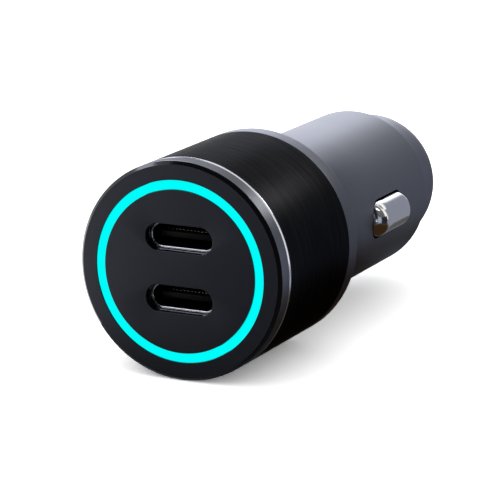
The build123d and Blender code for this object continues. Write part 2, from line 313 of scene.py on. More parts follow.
def feed(shader, **links):
    """Links wires to a shader's sockets by name."""
    for key, wire in links.items():
        wire.tree.links.new(wire.socket, shader.inputs[key.replace("_", " ").title()])


def show(shader):
    """Makes a shader the surface of its material."""
    shader.tree.links.new(shader.socket, shader.tree.nodes["Material Output"].inputs["Surface"])


def vector_maths(operation, *values, out=0):
    """A Vector Math node; the first value is a wire."""
    return values[0].node("VectorMath", {"operation": operation}, dict(enumerate(values)), out)


def noise(place, scale, detail=2.0, stretch=(1.0, 1.0, 1.0)):
    """Smooth noise from 0 to 1; scale counts its grains in a metre, and stretch counts them by axis."""
    spread = vector_maths("MULTIPLY", place, stretch)
    return place.node("TexNoise", None, {"Vector": spread, "Scale": scale, "Detail": detail}, out="Fac")


def along_plug(place):
    """How far along the plug a point is, in metres."""
    return place.node("SeparateXYZ", None, {0: place}, out="Y")


def tinted(low, high, mix):
    """A colour between two, by a factor from 0 to 1."""
    pair = [colour if isinstance(colour, Wire) else (*colour, 1.0) for colour in (low, high)]
    return mix.node("Mix", {"data_type": "RGBA"}, {0: mix, 6: pair[0], 7: pair[1]}, out=2)


def bumped(height, depth, strength=1.0):
    """A normal from a height from 0 to 1, where 1 stands for depth in millimetres."""
    return height.node("Bump", None, {"Strength": strength, "Distance": depth * MM, "Height": height})


print("finish helpers ready")


# %% [markdown]
# ## Camera
# The view was found by laying the circles of the face and the flange over the photograph: a long lens, 26
# degrees to the right of the face and 14 degrees above it. The camera's place is given from the middle of
# the face.

# %% Camera
camera_from_face = Vector((149.30, -287.08, 82.26))
view_turn, view_rise, view_roll = (math.radians(angle) for angle in (25.97, 13.816, -0.149))
sensor_width = 36.0
focal_pixels, image_pixels = 2792.83, 500

back = Vector((
    math.sin(view_turn) * math.cos(view_rise),
    -math.cos(view_turn) * math.cos(view_rise),
    math.sin(view_rise),
))
right = Vector((math.cos(view_turn), math.sin(view_turn), 0))
up = back.cross(right)
rolled_right = right * math.cos(view_roll) + up * math.sin(view_roll)
rolled_up = up * math.cos(view_roll) - right * math.sin(view_roll)
turned = Matrix((rolled_right, rolled_up, back)).transposed().to_4x4()

lens = bpy.data.cameras.new("camera")
lens.sensor_width = sensor_width
lens.lens = focal_pixels / image_pixels * sensor_width
lens.clip_start, lens.clip_end = 0.01, 20
camera = bpy.data.objects.new("camera", lens)
camera.matrix_world = Matrix.Translation((camera_from_face + Vector((0, face, 0))) * MM) @ turned
bpy.context.scene.collection.objects.link(camera)
bpy.context.scene.camera = camera
bpy.context.scene.view_settings.view_transform = "Standard"
print(f"camera: {lens.lens:.1f} mm lens, {camera_from_face.length:.0f} mm from the face")


# %% [markdown]
# ## Floor and light
# The plug lies on a white sweep. To the eye and to reflections the floor is paler than to the light that
# falls on things, and a little of it glows, so it looks white while the soft shadow beside the head
# stays. One soft lamp hangs behind and above the left side, and throws that shadow to the right.

# %% Helpers for the stage
def plain_material(name):
    """A new material with no shader yet, and a wire to start its nodes from."""
    material = bpy.data.materials.new(name)
    material.use_nodes = True
    tree = material.node_tree
    tree.nodes.remove(tree.nodes["Principled BSDF"])
    return material, Wire(tree)


def sheet(name, corners, material):
    """A flat sheet of the stage between corners in millimetres; it is no part of the plug."""
    bm = bmesh.new()
    bm.faces.new([bm.verts.new(Vector(corner) * MM) for corner in corners])
    made = piece_from(name, bm)
    made.data.materials.append(material)
    return made


def level(height, *places):
    """The corners of a level sheet at places in X and Y."""
    return [(*place, height) for place in places]


def lying(left, right, ahead, behind, height):
    """The corners of a level sheet with straight sides."""
    return level(height, (left, ahead), (right, ahead), (right, behind), (left, behind))


def standing(start, end, foot, top):
    """The corners of an upright sheet between two places in X and Y."""
    return [(*start, foot), (*end, foot), (*end, top), (*start, top)]


def seen_directly(start):
    """1 for what the eye, a reflection or glass sees, and 0 for the light that falls on things."""
    kinds = ("Is Camera Ray", "Is Glossy Ray", "Is Transmission Ray")
    camera_ray, glossy_ray, glass_ray = (start.node("LightPath", out=kind) for kind in kinds)
    return (camera_ray + glossy_ray + glass_ray) > 0.5


print("stage helpers ready")

# %% Background and floor
WHITE = (1.0, 1.0, 1.0, 1.0)
world_fill = 1.15
floor_half = 1500
floor_lift = 0.1
floor_tone, floor_tone_seen = 0.9, 1.63
floor_level = -head_radius

world = bpy.data.worlds.new("white_sweep")
world.use_nodes = True
backdrop = world.node_tree.nodes["Background"]
backdrop.inputs["Color"].default_value = WHITE
fill = world_fill + (1 - world_fill) * seen_directly(Wire(world.node_tree))
world.node_tree.links.new(fill.socket, backdrop.inputs["Strength"])
bpy.context.scene.world = world

floor_material, ground = plain_material("white_floor")
looked_at = seen_directly(ground)
tone = floor_tone + (floor_tone_seen - floor_tone) * looked_at
paper = ground.node("BsdfDiffuse", None, {"Color": tone}, out="BSDF")
glow = ground.node("Emission", None, {"Color": WHITE, "Strength": 1.0}, out="Emission")
show(ground.node("MixShader", None, {0: floor_lift * looked_at, 1: paper, 2: glow}, out="Shader"))
sheet("floor", lying(-floor_half, floor_half, -floor_half, floor_half, floor_level), floor_material)
print(f"floor at {floor_level:.1f} mm under the axis")

# %% Lamp
lamp_place = Vector((-200, 200, 420))
lamp_aim = Vector((0, (face + barrel_end) / 2, 0))
lamp_width, lamp_power = 400, 0.4

light = bpy.data.lights.new("top_softbox", "AREA")
light.size = lamp_width * MM
light.energy = lamp_power
lamp = bpy.data.objects.new("top_softbox", light)
lamp.location = lamp_place * MM
lamp.rotation_euler = (lamp_place - lamp_aim).to_track_quat("Z", "Y").to_euler()
bpy.context.scene.collection.objects.link(lamp)
print("lamp:", lamp.name)


# %% [markdown]
# ## What the metal sees
# Bare metal in an all-white room looks flat, because it has nothing dark to reflect. A photographer hangs
# dark cloths and bright panels just out of the picture, and so does this scene. All of them are there for
# reflections only: the eye doesn't see them, and they hold back no light. Some fade from one tone to
# another, because a hard edge would show in the chrome.

# %% A card
def card(name, tone, corners, fade=None):
    """A flat card that only reflections see; fade changes its tone with the distance from a point."""
    material, start = plain_material(name)
    colour = (*tone, 1.0)
    if fade:
        place = start.node("TexCoord", out="Object")
        apart = vector_maths("SUBTRACT", place, Vector(fade["centre"]) * MM)
        apart = vector_maths("MULTIPLY", apart, fade["axes"])
        distance = vector_maths("LENGTH", apart, out="Value")
        limits = {"Value": distance, "From Min": fade["near"] * MM, "From Max": fade["far"] * MM}
        share = start.node("MapRange", {"interpolation_type": "SMOOTHSTEP"}, limits)
        colour = tinted(tone, fade["tone"], share)
    show(start.node("Emission", None, {"Color": colour, "Strength": 1.0}, out="Emission"))
    made = sheet(name, corners, material)
    made.visible_camera = made.visible_diffuse = made.visible_shadow = made.visible_transmission = False
    print("card:", name)


# %% [markdown]
# The barrel, the flange and the sleeve mirror what stands behind the plug. A white panel at the left
# whitens their tops, fades to grey behind the middle, and meets grey cloth that shades the flank. A
# bright panel high at the left is for the bevel of the face, and two in front are for the lips of the
# ports.

# %% Panels round the room
room_left, room_right, room_front, room_back = -220, 300, -420, 400
room_foot, room_top, ceiling = floor_level + 0.2, 280, 350
back_left, back_top = -400, 290
white_end, grey_start = -85, -33
panel_white, panel_low, panel_grey = (4.15, 4.25, 4.45), (2.55, 2.62, 2.75), (1.47, 1.5, 1.57)
panel_bright, panel_bluish = (6.0, 6.0, 6.2), (2.4, 2.4, 2.75)
cloth_grey = (0.245, 0.260, 0.312)

card(
    "panel_back",
    panel_low,
    standing((back_left, room_back), (white_end, room_back), foot=0, top=back_top),
    dict(centre=(0, room_back, 0), axes=(0, 0, 1), near=20, far=150, tone=panel_white),
)
card(
    "panel_back_edge",
    panel_white,
    standing((white_end, room_back), (grey_start, room_back), foot=0, top=back_top),
    dict(
        centre=(white_end, room_back, 0),
        axes=(1, 0, 0),
        near=0,
        far=grey_start - white_end,
        tone=panel_grey,
    ),
)
card(
    "card_back",
    panel_grey,
    standing((grey_start, room_back), (room_right, room_back), room_foot, room_top),
    dict(centre=(grey_start, room_back, 0), axes=(1, 0, 0), near=0, far=85, tone=cloth_grey),
)
card("panel_left", panel_bright, standing((-340, -95), (-340, 25), foot=240, top=360))
card("panel_front", panel_bluish, standing((-250, -330), (-120, -400), foot=150, top=340))
card("panel_front_top", panel_bluish, lying(-240, -140, ahead=-380, behind=-190, height=ceiling - 1))


# %% [markdown]
# The trim ring is narrow and mirrors what is near. A small white panel just behind the flange makes the
# bright spot at its upper right, and three darker cards, a little further back, keep that spot short.

# %% Small cards near the head
spot_y, spot_back = 5, 20
spot_white, spot_dark, spot_grey = (4.6, 4.6, 4.6), (0.1, 0.1, 0.1), (1.2, 1.22, 1.27)
spot_left, spot_middle = -4, 13.5

card("panel_spot", spot_white, standing((15, spot_y), (23, spot_y), foot=17, top=26))
card("card_spot", spot_dark, standing((spot_left, spot_back), (spot_middle, spot_back), foot=25, top=38))
card("card_spot_low", spot_dark, standing((spot_middle, spot_back), (27, spot_back), foot=17, top=27))
card("card_spot_left", spot_grey, standing((-24, spot_back), (spot_left, spot_back), foot=28, top=42))


# %% [markdown]
# Black cloth in front, at the right and overhead keeps the black face black. Two more dark cards hang
# further back under the ceiling, for the cut edge and the small rounds at the top of the head.

# %% Dark cloths
cloth_black = (0.015, 0.015, 0.018)
cloth_dark, cloth_strip = (0.04, 0.04, 0.045), (0.08, 0.075, 0.07)
dark_left = -260
front_left, front_right = (room_left, room_front), (room_right, room_front)

card("card_right", cloth_grey, standing((room_right, room_back), (room_right, 150), room_foot, room_top))
card("card_right_front", cloth_black, standing((room_right, -20), front_right, room_foot, ceiling))
card("card_front", cloth_black, standing(front_left, front_right, room_foot, ceiling))
card("card_ceiling", cloth_black, lying(room_left, room_right, room_front, behind=-60, height=ceiling))
card(
    "card_ceiling_back",
    cloth_dark,
    lying(dark_left, 80, ahead=40, behind=240, height=ceiling),
    dict(centre=(dark_left, 0, 0), axes=(1, 0, 0), near=115, far=175, tone=(1.0, 1.0, 1.0)),
)
card("card_ceiling_strip", cloth_strip, lying(85, 260, ahead=90, behind=170, height=ceiling - 1))


# %% [markdown]
# The round nose of the chrome shoe mirrors a wide part of the room in a few millimetres, so small cards
# stand close to it: a bluish window straight ahead, grey above and beside it, and black for the dark
# edge.

# %% Small cards round the shoe's nose
nose_x, nose_y, nose_top = 40, -8, 48
pane_left, pane_right = (22, nose_y), (44, nose_y)
pane_foot, pane_top = -8, 7
pane_blue, shade_grey, shade_top = (0.36, 0.40, 0.53), (0.12, 0.12, 0.118), (0.14, 0.14, 0.137)

card("window_nose", pane_blue, standing(pane_left, pane_right, pane_foot, pane_top))
card("card_nose_front", shade_grey, standing(pane_left, pane_right, pane_top, top=40))
card("card_nose", shade_grey, standing((nose_x, nose_y), (nose_x, 12), pane_top, nose_top))
card("card_nose_top", shade_top, lying(2, nose_x, ahead=-5, behind=17, height=nose_top))
card("card_nose_edge", cloth_black, standing((nose_x, nose_y), (nose_x, 21), room_foot, pane_top))


# %% [markdown]
# Seen from above, the black face mirrors the floor in front of it. The cloth there follows the view to
# the front of the room, and a dark strip at its foot is painted shadow, for the shaded floor there. Other
# patches serve single edges: one lights the lips of the ports, one darkens the right rim of the face, and
# one lights the cut edge. Brown ones under the shoe and the barrel, darkest near the head, are painted
# shadow: in reflections they stand for the floor in the plug's shade.

# %% Cloths and patches on the floor
cloth_height, patch_height = room_foot + 0.1, room_foot + 0.15
follow = math.tan(view_turn) * (room_front - face)
foot_left, foot_middle, foot_right, far_left = -11.5, 5, 90, -70
# Painted shadow: the brown stands for the floor in the plug's shade near the head; the umber does so under the
# shoe, and also darkens the right rim of the face.
head_shadow_brown, umber_cloth_and_shadow = (0.058, 0.046, 0.036), (0.035, 0.017, 0.007)
face_near, face_far, face_right = (0.25, 0.25, 0.235), (0.05, 0.07, 0.12), (0.03, 0.03, 0.04)
# Painted shadow: the strip at the face's foot and the patch under the barrel stand for the shaded floor.
foot_shadow_tone, under_barrel_shadow = (0.05, 0.05, 0.045), (0.10, 0.095, 0.085)
lip_light, cut_light = (1.3, 1.35, 1.6), (0.55, 0.58, 0.66)

card(
    "card_floor_front",
    face_near,
    level(
        cloth_height,
        (foot_left, face),
        (foot_middle, face),
        (foot_middle + follow, room_front),
        (far_left + follow, room_front),
    ),
    dict(centre=(0, face, 0), axes=(0, 1, 0), near=20, far=95, tone=face_far),
)
card("card_floor_front_right", face_right, level(
    cloth_height,
    (foot_middle, face),
    (foot_right, face),
    (foot_right + follow, room_front),
    (foot_middle + follow, room_front),
))
# Painted shadow: the shaded floor at the face's foot, as the face mirrors it.
card("card_floor_foot", foot_shadow_tone, lying(foot_left, 30, face - 9, face, patch_height))
card("panel_floor_ports", lip_light, level(patch_height, (17, -60), (28, -48), (52, -68), (36, -86)))
card("card_floor_rim", umber_cloth_and_shadow, level(
    patch_height,
    (20, -22),
    (20, -38),
    (room_right, -190),
    (room_right, -135),
))
card("card_floor_cut", cut_light, lying(45, 85, ahead=-18, behind=-6, height=patch_height))
# Painted shadow: these two stand for the shaded floor under the shoe and under the barrel.
card("card_floor_shoe", umber_cloth_and_shadow, lying(9, 34, ahead=-13, behind=24, height=cloth_height))
card("card_floor_under", under_barrel_shadow, lying(7, 19, ahead=32, behind=50, height=patch_height))
# Painted shadow: this sheet is dark brown near the head, where the floor lies in shade, and grey further off.
card(
    "card_floor_right",
    head_shadow_brown,
    lying(-20, room_right, ahead=-260, behind=room_back, height=room_foot),
    dict(centre=(8, 4, room_foot), axes=(0.5, 1, 0), near=21, far=32, tone=cloth_grey),
)


# %% [markdown]
# ## Finishes
# Each finish is a short function that returns a material. Metal colours are what the metal reflects;
# black parts are never fully black. The grain, the brushing and the colour drift are noise in the piece's
# own space, counted in grains per metre, so they keep their real size and stay on the piece when it
# moves. Barrel, trim ring and nose are close greys, and the trim ring has less sheen at a flat angle.

# %% Grey anodised metal
guide = frame["record"]["mounts"][0]["dims"]
barrel_radius, guide_length = guide["r_mm"], guide["length_mm"]
barrel_draft = 0.03
wall_edge = 0.03
shoe_low, shoe_high = span("side_contact_right")
# Painted shade: the walls of the windows are painted near black, for the dark gap round the shoe.
painted_shade_tone = (0.006, 0.006, 0.006)


def window_walls(place):
    """1 on the walls of the two windows, below the barrel's skin, where shade is painted, and 0 elsewhere."""
    radial = vector_maths("MULTIPLY", place, (1, 0, 1))
    radius = vector_maths("LENGTH", radial, out="Value")
    along = along_plug(place)
    below = radius < (barrel_radius - barrel_draft - wall_edge) * MM
    return below * (along > shoe_low.y * MM) * (along < shoe_high.y * MM)


def grey_metal(name, colour, rough, edge=0.54, painted_shade=None):
    """Fine-blasted, anodised satin; edge is its sheen at a flat angle, and a mask can paint shade near black."""
    sheen = {"Specular Tint": (edge, edge, edge + 0.02, 1.0)}
    material, shader, place = finish(name, 1.0, rough, sheen)
    cloud = noise(place, 90)
    grain = noise(place, 9000)
    low = tuple(0.92 * part for part in colour)
    high = tuple(1.08 * part for part in colour)
    tone = tinted(low, high, cloud)
    # Where the mask is 1, shade is painted near black.
    if painted_shade:
        tone = tinted(tone, painted_shade_tone, painted_shade(place))
    feed(shader, base_color=tone, roughness=rough + 0.08 * (grain - 0.5), normal=bumped(grain, 0.002))
    return material


barrel_grey = grey_metal("barrel_grey", (0.250, 0.258, 0.287), 0.45, painted_shade=window_walls)
trim_grey = grey_metal("trim_grey", (0.275, 0.283, 0.305), 0.42, edge=0.2)
nose_grey = grey_metal("nose_grey", (0.272, 0.281, 0.316), 0.45)
print("made", barrel_grey.name, trim_grey.name, nose_grey.name)

# %% Brushed black sleeve with its cut edge
bevel_depth, bevel_length = 0.12, 0.25
bare_past_bevel = 0.1
brushing = (150, 5500, 150)


def brushed_black(name, bare_end):
    """Metal under a black dye: it shows through by a few percent, and fully on the cut front edge."""
    material, metal, place = finish(name, 1.0, 0.4, {"Specular Tint": (0.55, 0.55, 0.57, 1.0)})
    bare = along_plug(place) < bare_end * MM
    lines = noise(place, 1.0, 3.0, brushing)
    streaks = 0.5 + 2.4 * (lines - 0.5)
    through = 0.045 + 0.1 * (0.7 * streaks + 0.3 * noise(place, 200))
    rough = 0.34 + 0.14 * lines
    feed(metal, base_color=tinted((0.240, 0.242, 0.262), (0.74, 0.75, 0.78), bare))
    feed(metal, roughness=rough - bare * (rough - 0.22))
    feed(metal, normal=bumped(lines * (1 - bare), 0.003, 0.4))
    dye = {"Base Color": (0.0015, 0.0015, 0.0017, 1.0), "Specular Tint": (0.0, 0.0, 0.0, 1.0)}
    black = place.node("BsdfPrincipled", None, {**dye, "Metallic": 1.0, "Roughness": 0.4}, out="BSDF")
    share = through + bare * (1 - through)
    layers = {0: share, 1: black, 2: Wire(place.tree, metal.outputs["BSDF"])}
    show(place.node("MixShader", None, layers, out="Shader"))
    return material


sleeve_black = brushed_black("sleeve_black", sleeve_front + bevel_length + bare_past_bevel)
print("made", sleeve_black.name)

# %% Black face and lit ring
flat_depth = 0.01


def face_black():
    """Moulded black panel: finely matt on the flat, polished on its rim and in its slots."""
    gloss = {"IOR": 1.46, "Specular Tint": (0.80, 0.86, 1.0, 1.0)}
    material, shader, place = finish("face_black", 0.0, 0.3, gloss)
    polished = along_plug(place) > (face + flat_depth) * MM
    grain = noise(place, 12000)
    flat = tinted((0.0048, 0.0050, 0.0078), (0.0068, 0.0071, 0.0108), noise(place, 150))
    feed(shader, base_color=tinted(flat, (0.002, 0.002, 0.0025), polished))
    feed(shader, roughness=(0.34 + 0.10 * grain) * (1 - 0.65 * polished))
    feed(shader, normal=bumped(grain * (1 - polished), 0.0015))
    return material


def lit_ring():
    """Milky plastic lit from behind, a little uneven round the ring."""
    lit = {"Emission Strength": 1.0, "Specular IOR Level": 0.0}
    material, shader, place = finish("lit_ring", 0.0, 0.5, lit)
    cloud = noise(place, 400)
    feed(shader, base_color=tinted((0.0, 0.03, 0.03), (0.0, 0.04, 0.04), cloud))
    feed(shader, emission_color=tinted((0.0, 0.90, 0.89), (0.0, 0.98, 0.95), cloud))
    return material


panel_black = face_black()
ring_light = lit_ring()
print("made", panel_black.name, ring_light.name)

# %% Bright metals
# How far the bright lip reaches; past it, the shade inside the port is painted on the shell.
lip_before_shade = 0.22


def bright_metal(name, colour, rough, grain_size, depth):
    """Plated or rolled metal: bright, with faint streaks along the plug."""
    material, shader, place = finish(name, 1.0, rough)
    streaks = noise(place, 1.0, 2.0, (grain_size, grain_size / 12, grain_size))
    low = tuple(0.95 * part for part in colour)
    feed(shader, base_color=tinted(low, colour, streaks), roughness=rough + 0.06 * (streaks - 0.5))
    feed(shader, normal=bumped(streaks, depth))
    return material


def drawn_shell(name, lip_end):
    """Drawn steel: bright on its polished lip, and dull further in, where its shade is painted near black."""
    material, shader, place = finish(name, 1.0, 0.2)
    # Past the lip the shell is rougher, and its colour is painted shade, near black.
    dull_and_shaded = along_plug(place) > lip_end * MM
    streaks = noise(place, 1.0, 2.0, (6000, 500, 6000))
    bright = tinted((0.74, 0.75, 0.78), (0.84, 0.85, 0.88), streaks)
    feed(shader, base_color=tinted(bright, (0.030, 0.030, 0.032), dull_and_shaded))
    feed(shader, roughness=0.18 + 0.06 * streaks + 0.25 * dull_and_shaded, normal=bumped(streaks, 0.0005))
    return material


port_steel = drawn_shell("port_steel", ends("usb_shell_upper")[0] + lip_before_shade)
chrome = bright_metal("chrome", (0.90, 0.90, 0.91), 0.14, 3000, 0.0002)
gold = bright_metal("gold_strip", (0.46, 0.43, 0.36), 0.38, 8000, 0.0005)
spring_steel = bright_metal("spring_steel", (0.52, 0.52, 0.53), 0.3, 5000, 0.0005)
can_metal = bright_metal("can_metal", (0.74, 0.74, 0.75), 0.32, 4000, 0.0005)
print("made", port_steel.name, chrome.name, gold.name, spring_steel.name, can_metal.name)


# %% Moulded, laminated and fired bodies
def matt_body(name, low, high, rough, grain_size, constants=None):
    """Two close tones in fine grain."""
    material, shader, place = finish(name, 0.0, rough, constants)
    grain = noise(place, grain_size)
    feed(shader, base_color=tinted(low, high, grain), roughness=rough + 0.12 * (grain - 0.5))
    feed(shader, normal=bumped(grain, 0.003))
    return material


dull = {"Specular IOR Level": 0.12}
port_black = matt_body("port_black", (0.0015, 0.0015, 0.0015), (0.003, 0.003, 0.003), 0.5, 9000, dull)
board_green = matt_body("board_green", (0.010, 0.060, 0.030), (0.016, 0.085, 0.045), 0.35, 2500)
led_white = matt_body("led_white", (0.70, 0.68, 0.60), (0.80, 0.78, 0.70), 0.4, 4000)
ferrite = matt_body("ferrite", (0.040, 0.040, 0.042), (0.060, 0.060, 0.063), 0.6, 7000)
ceramic = matt_body("ceramic", (0.42, 0.33, 0.24), (0.50, 0.40, 0.30), 0.45, 5000)
print("made", port_black.name, board_green.name, led_white.name, ferrite.name, ceramic.name)


# %% [markdown]
# ## Putting a piece on the plug
# A new mesh stands for a node of the frame: the node is hidden, and the mesh rides on the body that
# carries it.

# %% Dress a piece
def dress(piece, material, slot, body, *nodes):
    """Gives a piece its finish, the body it rides on and the nodes it replaces; slot is not used."""
    piece.data.materials.clear()
    piece.data.materials.append(material)
    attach(piece, body)
    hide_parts(*nodes)
    print(f"{piece.name}: {len(piece.data.polygons)} faces, for {', '.join(nodes)}")


# %% [markdown]
# ## Housing
# The head tube, the flange and the barrel are one turned piece. Its profile goes once round the section,
# so the mesh is a closed solid. The two windows for the side contacts are milled with one cutter that
# passes through both walls; their outline is round at the head end, like the shoe that moves in them.

# %% Housing
sleeve_wall, head_tube_wall, fit_gap = 0.9, 0.8, 0.1
head_tube_radius = head_radius - sleeve_wall - fit_gap
head_bore = head_tube_radius - head_tube_wall
barrel_bore = 9.2
cavity_floor = -2.0
tube_edge, flange_edge, flange_round = 0.1, 0.06, 0.6
barrel_edge, bore_edge = 0.15, 0.1

housing_profile = rounded([
    (head_bore, sleeve_front, 0),
    (head_tube_radius, sleeve_front, tube_edge),
    (head_tube_radius, flange_front, 0),
    (head_radius, flange_front, flange_edge),
    (head_radius, 0, flange_round),
    (barrel_radius, 0, barrel_edge),
    (barrel_radius, guide_length, 0),
    (barrel_radius - barrel_draft, barrel_end, barrel_edge),
    (barrel_bore, barrel_end, bore_edge),
    (barrel_bore, cavity_floor, 0),
    (head_bore, cavity_floor, 0),
])
print("housing profile:", len(housing_profile), "points")

# %% Windows in the housing
shoe_radius = shoe_high.z
lip_length = 1.0
shoe_start, shoe_end = shoe_low.y + lip_length, shoe_high.y - lip_length
shoe_nose_round, shoe_tail_round = 1.9, 0.7
window_gap = 0.2
window_half_width = shoe_radius + window_gap
window_start, window_end = shoe_start - window_gap, shoe_end + window_gap
window_nose_round, window_tail_round = shoe_nose_round + window_gap, shoe_tail_round + window_gap

window_outline = rounded([
    (window_start, -window_half_width, window_nose_round),
    (window_end, -window_half_width, window_tail_round),
    (window_end, window_half_width, window_tail_round),
    (window_start, window_half_width, window_nose_round),
])
window_cutter = skinned(
    "window_cutter",
    [[(side * head_radius, along, across) for along, across in window_outline] for side in (-1, 1)],
    caps=True,
)
housing = cut(spun("housing_metal", housing_profile), window_cutter, careful=True)
dress(housing, barrel_grey, "gunmetal_anodised", "plug_body", "housing")

# %% [markdown]
# ## Sleeve and trim ring
# The sleeve is a plain tube with a bevel cut at its front edge. That cut goes through the black layer,
# which leaves the thin bright line round the head. The trim ring stands in front of it, and its spigot
# reaches back into the head tube.

# %% Sleeve
cut_front_edge, cut_back_edge = 0.02, 0.03

sleeve = spun("grip_sleeve_tube", rounded([
    (head_tube_radius + fit_gap, sleeve_front, 0),
    (head_radius - bevel_depth, sleeve_front, cut_front_edge),
    (head_radius, sleeve_front + bevel_length, cut_back_edge),
    (head_radius, flange_front, flange_edge),
    (head_tube_radius + fit_gap, flange_front, 0),
]))
dress(sleeve, sleeve_black, "black_anodised", "plug_body", "grip_sleeve")

# %% Trim ring
trim_wall, trim_bevel = 1.5, 0.1
trim_edge, trim_bevel_edge = 0.05, 0.04
trim_bore = head_radius - trim_wall
spigot_wall, spigot_gap = 0.45, 0.05
spigot_radius = head_bore - spigot_gap
boss_depth = 1.4
panel_back = trim_front + boss_depth

trim = spun("trim_ring_metal", rounded([
    (trim_bore, trim_front, trim_edge),
    (head_radius, trim_front, trim_edge),
    (head_radius, sleeve_front - trim_bevel, trim_edge),
    (head_radius - trim_bevel, sleeve_front, trim_bevel_edge),
    (spigot_radius, sleeve_front, 0),
    (spigot_radius, trim_back, 0),
    (spigot_radius - spigot_wall, trim_back, 0),
    (spigot_radius - spigot_wall, panel_back, 0),
    (trim_bore, panel_back, 0),
]))
dress(trim, trim_grey, "gunmetal_anodised", "plug_body", "trim_ring")

# %% [markdown]
# ## Face panel and light ring
# The panel is turned with its groove for the light ring, then the two port slots are cut with a cutter
# that flares at the mouth, so that each slot gets a small rounded edge. The light ring has four legs that
# lead the light up from the board; they stay out of sight, but on the real plug they are what makes the
# ring glow.

# %% Outline of the face panel
ring_outer = span("light_ring")[1].x
ring_width = 1.06
ring_inner = ring_outer - ring_width
groove_gap, groove_depth, groove_edge = 0.05, 1.2, 0.04
groove_floor = face + groove_depth
panel_bevel = 0.42
bevel_edge, rim_edge = 0.05, 0.03

panel_profile = rounded([
    (0, face, 0),
    (ring_inner - groove_gap, face, groove_edge),
    (ring_inner - groove_gap, groove_floor, 0),
    (ring_outer + groove_gap, groove_floor, 0),
    (ring_outer + groove_gap, face, groove_edge),
    (head_radius - panel_bevel, face, bevel_edge),
    (head_radius, face + panel_bevel, rim_edge),
    (head_radius, trim_front, 0),
    (trim_bore - groove_gap, trim_front, 0),
    (trim_bore - groove_gap, panel_back, 0),
    (0, panel_back, 0),
])
print("panel profile:", len(panel_profile), "points")

# %% Posts and port slots
POST_STEPS = 48
port_names = ("upper", "lower")
slot_gap, slot_round = 0.05, 0.1
overrun = 1


def on_circle(radius, degrees):
    """A point in X and Z at an angle round the axis."""
    return radius * math.cos(math.radians(degrees)), radius * math.sin(math.radians(degrees))


def post(radius, start, end, centre):
    """A round post along the axis."""
    return spun("post", [(0, start), (radius, start), (radius, end), (0, end)], 0.0, centre, POST_STEPS)


def port_middle(name):
    """The height of a port's shell, its half run along X and the radius of its round ends."""
    low, high = span("usb_shell_" + name)
    radius = (high.z - low.z) / 2
    return (high.z + low.z) / 2, high.x - radius, radius


def slot_cutter(name):
    """The milled shape of a port slot, flared at the mouth."""
    height, half_run, shell_radius = port_middle(name)
    radius = shell_radius + slot_gap
    front, end = face - overrun, panel_back + overrun
    profile = [(0, front), (radius + slot_round, front)]
    for step in range(ARC_STEPS + 1):
        angle = math.pi / 2 * step / ARC_STEPS
        wider, deeper = slot_round * (1 - math.sin(angle)), slot_round * (1 - math.cos(angle))
        profile.append((radius + wider, face + deeper))
    profile += [(radius, end), (0, end)]
    return spun("slot_cutter", profile, half_run, (0, height), SLOT_STEPS)


print("slot cutters ready for", port_names)

# %% Face panel
port_board_front = ends("port_board")[0]
leg_radius, post_radius = 0.5, 1.0
leg_circle = ring_inner + leg_radius
post_circle = ring_inner - ring_width - post_radius
quarters = (0, 90, 180, 270)

leg_places = [on_circle(leg_circle, 45 + angle) for angle in quarters]
leg_holes = [post(leg_radius + groove_gap, face, panel_back + overrun, place) for place in leg_places]
panel = cut(spun("face_panel_disc", panel_profile), *map(slot_cutter, port_names), *leg_holes)
post_places = [on_circle(post_circle, angle) for angle in quarters]
posts = [post(post_radius, panel_back, port_board_front, place) for place in post_places]
panel = joined("face_panel_moulding", panel, *posts)
dress(panel, panel_black, "black_panel", "plug_body", "face_panel")

# %% Light ring
ring_front, leg_end = ends("light_ring")
ring_edge = 0.06
ring_profile = rounded([
    (ring_inner, ring_front, ring_edge),
    (ring_outer, ring_front, ring_edge),
    (ring_outer, groove_floor, 0),
    (ring_inner, groove_floor, 0),
])
ring_legs = [post(leg_radius, groove_floor, leg_end, place) for place in leg_places]
light_ring = joined("light_ring_pipe", spun("ring", ring_profile), *ring_legs)
dress(light_ring, ring_light, "cyan_light", "plug_body", "light_ring")

# %% [markdown]
# ## Ports
# Each port is a drawn steel shell with a rounded lip, a black tongue in its middle and twelve contact
# strips on each face of the tongue. Along the lip runs a double bright line: a fine seam in the lip
# splits its shine in two.

# %% Port shells
shell_wall = 0.25
lip_round, lip_land = 0.11, 0.13
seam_width, seam_depth, seam_slant = 0.065, 0.13, 0.015
outer_edge, seam_inner_edge, seam_outer_edge = 0.03, 0.01, 0.015


def port_shell(name):
    """The drawn shell, carried round the slot's outline."""
    height, half_run, radius = port_middle(name)
    front, end = ends("usb_shell_" + name)
    bore = radius - shell_wall
    seam = bore + lip_land
    profile = rounded([
        (radius, front, outer_edge),
        (radius, end, 0),
        (bore, end, 0),
        (bore, front, lip_round),
        (seam, front, seam_inner_edge),
        (seam + seam_slant, front + seam_depth, 0),
        (seam + seam_width, front, seam_outer_edge),
    ])
    shell = spun("port_shell_" + name, profile, half_run, (0, height), SLOT_STEPS)
    dress(shell, port_steel, "port_steel", "plug_body", "usb_shell_" + name)


print("port shells:", shell_wall, "mm wall, with a seam", seam_width, "mm wide")

# %% Port tongues and contact strips
blade_half_width, blade_half_thickness, blade_length = 3.35, 0.35, 4.5
blade_edge, strip_edge = 0.08, 0.02
strip_count, strip_pitch, strip_width = 12, 0.5, 0.26


